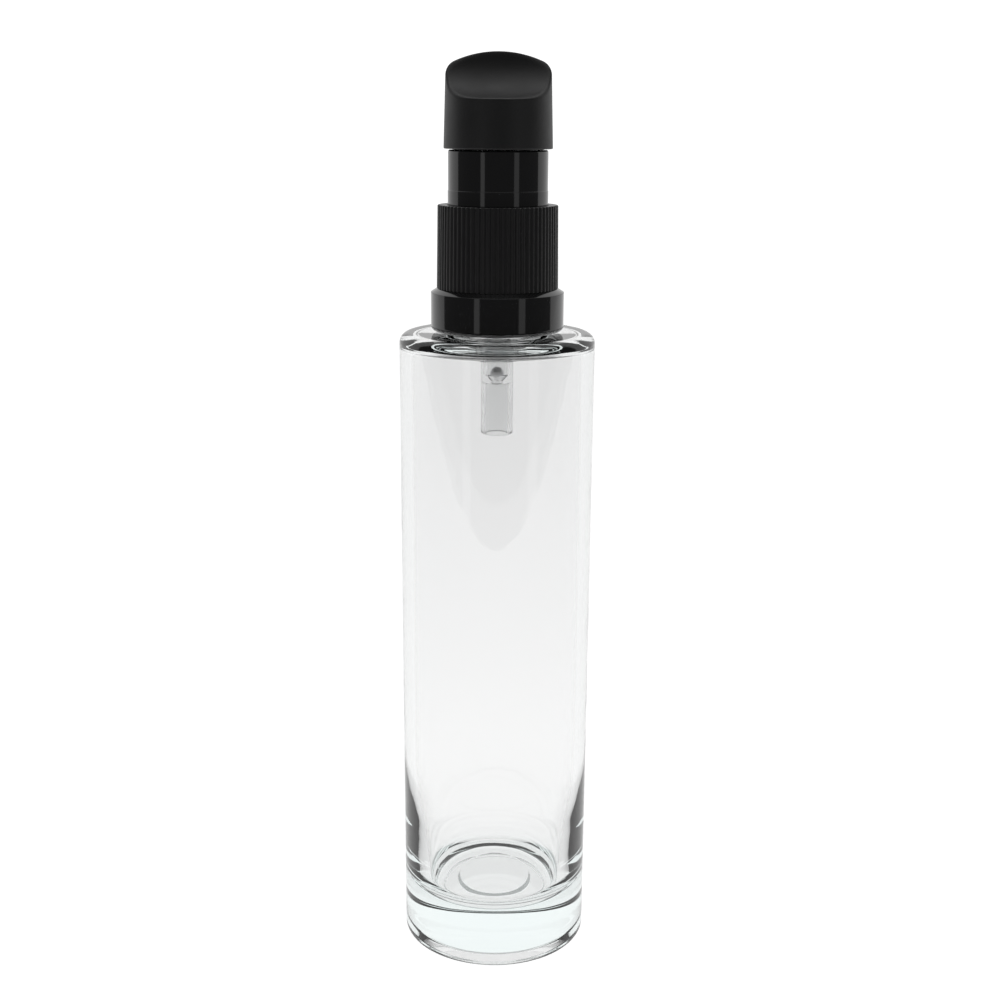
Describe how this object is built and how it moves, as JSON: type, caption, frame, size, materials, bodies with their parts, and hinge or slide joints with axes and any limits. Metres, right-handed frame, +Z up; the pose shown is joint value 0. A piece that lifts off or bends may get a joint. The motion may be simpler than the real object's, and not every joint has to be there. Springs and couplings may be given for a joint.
{
  "type": "foundation bottle",
  "caption": "Tall clear glass cylinder bottle with a thick base and a black treatment pump: ribbed screw closure, glossy guide sleeve and matte head with a finger scoop.",
  "frame": {"origin": "centre of the base, on the surface that the bottle stands on", "axes": "+Z up along the bottle's axis; the finger scoop faces -Y and the outlet faces +Y"},
  "size_m": [0.0344, 0.0344, 0.1634],
  "materials": {
    "clear_glass": "clear flint glass, polished",
    "matte_black_plastic": "fine matte texture",
    "ribbed_black_plastic": "satin, fine vertical ribs",
    "gloss_black_plastic": "high gloss",
    "natural_plastic": "translucent natural polypropylene",
    "white_plastic": "satin",
    "soft_white_plastic": "soft polyethylene",
    "white_foam": "closed-cell foam",
    "steel": "bright stainless steel"
  },
  "bodies": {
    "bottle": {"glass_bottle": "clear_glass"},
    "pump_body": {"neck_gasket": "white_foam", "pump_housing": "natural_plastic", "chaplet": "natural_plastic", "guide_sleeve": "gloss_black_plastic", "return_spring": "steel"},
    "closure": {"screw_closure": "ribbed_black_plastic", "collar_ring": "gloss_black_plastic"},
    "ball": {"check_ball": "steel"},
    "plunger": {"stem": "white_plastic", "piston_rod": "white_plastic"},
    "piston": {"piston": "soft_white_plastic"},
    "head": {"actuator_core": "white_plastic", "actuator_shell": "matte_black_plastic", "nozzle_insert": "gloss_black_plastic"}
  },
  "joints": [
    {"name": "pump_lift", "type": "slide", "parent": "bottle", "child": "pump_body", "axis": [0, 0, 1], "range_m": [0, 0.00635]},
    {"name": "closure_turn", "type": "hinge", "parent": "pump_body", "child": "closure", "pos_m": [0, 0, 0.12], "axis": [0, 0, 1], "range_deg": [0, 720]},
    {"name": "head_press", "type": "slide", "parent": "pump_body", "child": "plunger", "axis": [0, 0, -1], "range_m": [0, 0.005], "stiffness_N_per_m": 1500, "springref_m": -0.0053, "deforming": ["return_spring"]},
    {"name": "piston_slip", "type": "slide", "parent": "plunger", "child": "piston", "axis": [0, 0, 1], "range_m": [0, 0.0008]},
    {"name": "head_turn", "type": "hinge", "parent": "plunger", "child": "head", "pos_m": [0, 0, 0.155], "axis": [0, 0, 1], "continuous": true},
    {"name": "ball_lift", "type": "slide", "parent": "pump_body", "child": "ball", "axis": [0, 0, 1], "range_m": [0, 0.0009]}
  ],
  "couplings": [
    {"joint": "closure_turn", "follows": "pump_lift", "rad_per_m": 1979}
  ]
}
